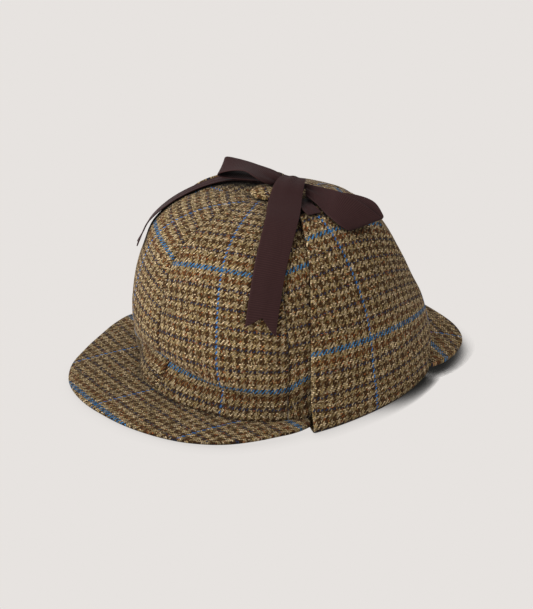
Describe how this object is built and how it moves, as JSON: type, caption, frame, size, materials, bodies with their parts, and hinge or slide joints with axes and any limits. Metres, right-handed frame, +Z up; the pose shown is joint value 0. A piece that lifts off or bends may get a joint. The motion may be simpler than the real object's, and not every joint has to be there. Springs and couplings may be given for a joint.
{
  "type": "deerstalker hat",
  "caption": "Tweed deerstalker hat with a gored round crown, front and back peaks, and ear flaps turned up and tied with a ribbon bow over a covered button",
  "frame": {"origin": "centre of the hat's footprint on the surface it rests on, at the bottom of the turned-up ear flaps", "axes": "the hat faces -Y, the wearer's left is +X, +Z is up; the peaks run along Y"},
  "size_m": [0.2059, 0.2664, 0.1405],
  "materials": {
    "tweed": "matte woollen tweed with a brown, khaki and navy check and blue overcheck",
    "tweed_peaks_and_flaps": "matte woollen tweed of the same cloth on the peaks and ear flaps",
    "grosgrain_ribbon": "dark maroon-brown ribbed ribbon with a slight sheen"
  },
  "bodies": {
    "root": {"crown_gore_front_left": "tweed", "crown_gore_side_left": "tweed", "crown_gore_back_left": "tweed", "crown_gore_back_right": "tweed", "crown_gore_side_right": "tweed", "crown_gore_front_right": "tweed", "front_peak": "tweed_peaks_and_flaps", "back_peak": "tweed_peaks_and_flaps", "left_ear_flap": "tweed_peaks_and_flaps", "right_ear_flap": "tweed_peaks_and_flaps", "top_button": "tweed", "bow_knot": "grosgrain_ribbon", "bow_loop_front": "grosgrain_ribbon", "bow_loop_back": "grosgrain_ribbon", "ribbon_tail_front": "grosgrain_ribbon", "ribbon_tail_side": "grosgrain_ribbon", "left_flap_tie": "grosgrain_ribbon", "right_flap_tie": "grosgrain_ribbon"}
  },
  "joints": []
}
